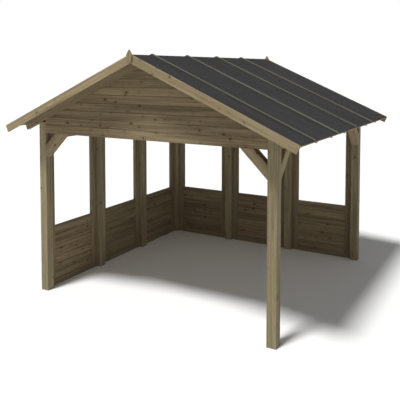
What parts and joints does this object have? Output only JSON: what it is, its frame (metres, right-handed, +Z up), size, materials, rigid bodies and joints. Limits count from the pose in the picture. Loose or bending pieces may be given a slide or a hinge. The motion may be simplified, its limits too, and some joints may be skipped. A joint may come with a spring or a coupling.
{
  "type": "timber garden gazebo",
  "caption": "Square open-sided timber garden gazebo with a felted gable roof, two open sides and two sides with boarded half walls",
  "frame": {"origin": "on the ground, under the middle of the footprint", "axes": "+Z up; +Y from the open front gable to the back gable; +X from the half-walled left side to the open right side"},
  "size_m": [3.6122, 3.51, 2.8261],
  "materials": {
    "post_timber": "pressure-treated softwood, planed, matt",
    "frame_timber": "pressure-treated softwood, planed, matt",
    "board_timber": "pressure-treated softwood boards, matt",
    "trim_timber": "pressure-treated softwood, planed, matt",
    "roof_felt": "mineral-faced bitumen felt, charcoal grey, matt"
  },
  "bodies": {
    "root": {"front_left_post": "post_timber", "front_right_post": "post_timber", "back_left_post": "post_timber", "back_right_post": "post_timber", "left_middle_post_1": "post_timber", "left_middle_post_2": "post_timber", "back_middle_post_1": "post_timber", "back_middle_post_2": "post_timber", "front_beam": "post_timber", "back_beam": "post_timber", "left_eaves_beam": "post_timber", "right_eaves_beam": "post_timber", "front_left_brace": "post_timber", "front_right_brace": "post_timber", "right_front_brace": "post_timber", "right_back_brace": "post_timber", "left_wall_studs": "frame_timber", "left_wall_rails": "frame_timber", "left_half_wall_1": "board_timber", "left_half_wall_2": "board_timber", "left_half_wall_3": "board_timber", "back_wall_studs": "frame_timber", "back_wall_rails": "frame_timber", "back_half_wall_1": "board_timber", "back_half_wall_2": "board_timber", "back_half_wall_3": "board_timber", "front_gable_cladding": "board_timber", "back_gable_cladding": "board_timber", "gable_studs": "frame_timber", "ridge_board": "post_timber", "left_rafters": "post_timber", "right_rafters": "post_timber", "left_roof_deck": "trim_timber", "right_roof_deck": "trim_timber", "left_felt": "roof_felt", "right_felt": "roof_felt", "left_battens": "trim_timber", "right_battens": "trim_timber", "front_left_bargeboard": "trim_timber", "front_right_bargeboard": "trim_timber", "back_left_bargeboard": "trim_timber", "back_right_bargeboard": "trim_timber", "front_finial": "trim_timber", "back_finial": "trim_timber"}
  },
  "joints": []
}
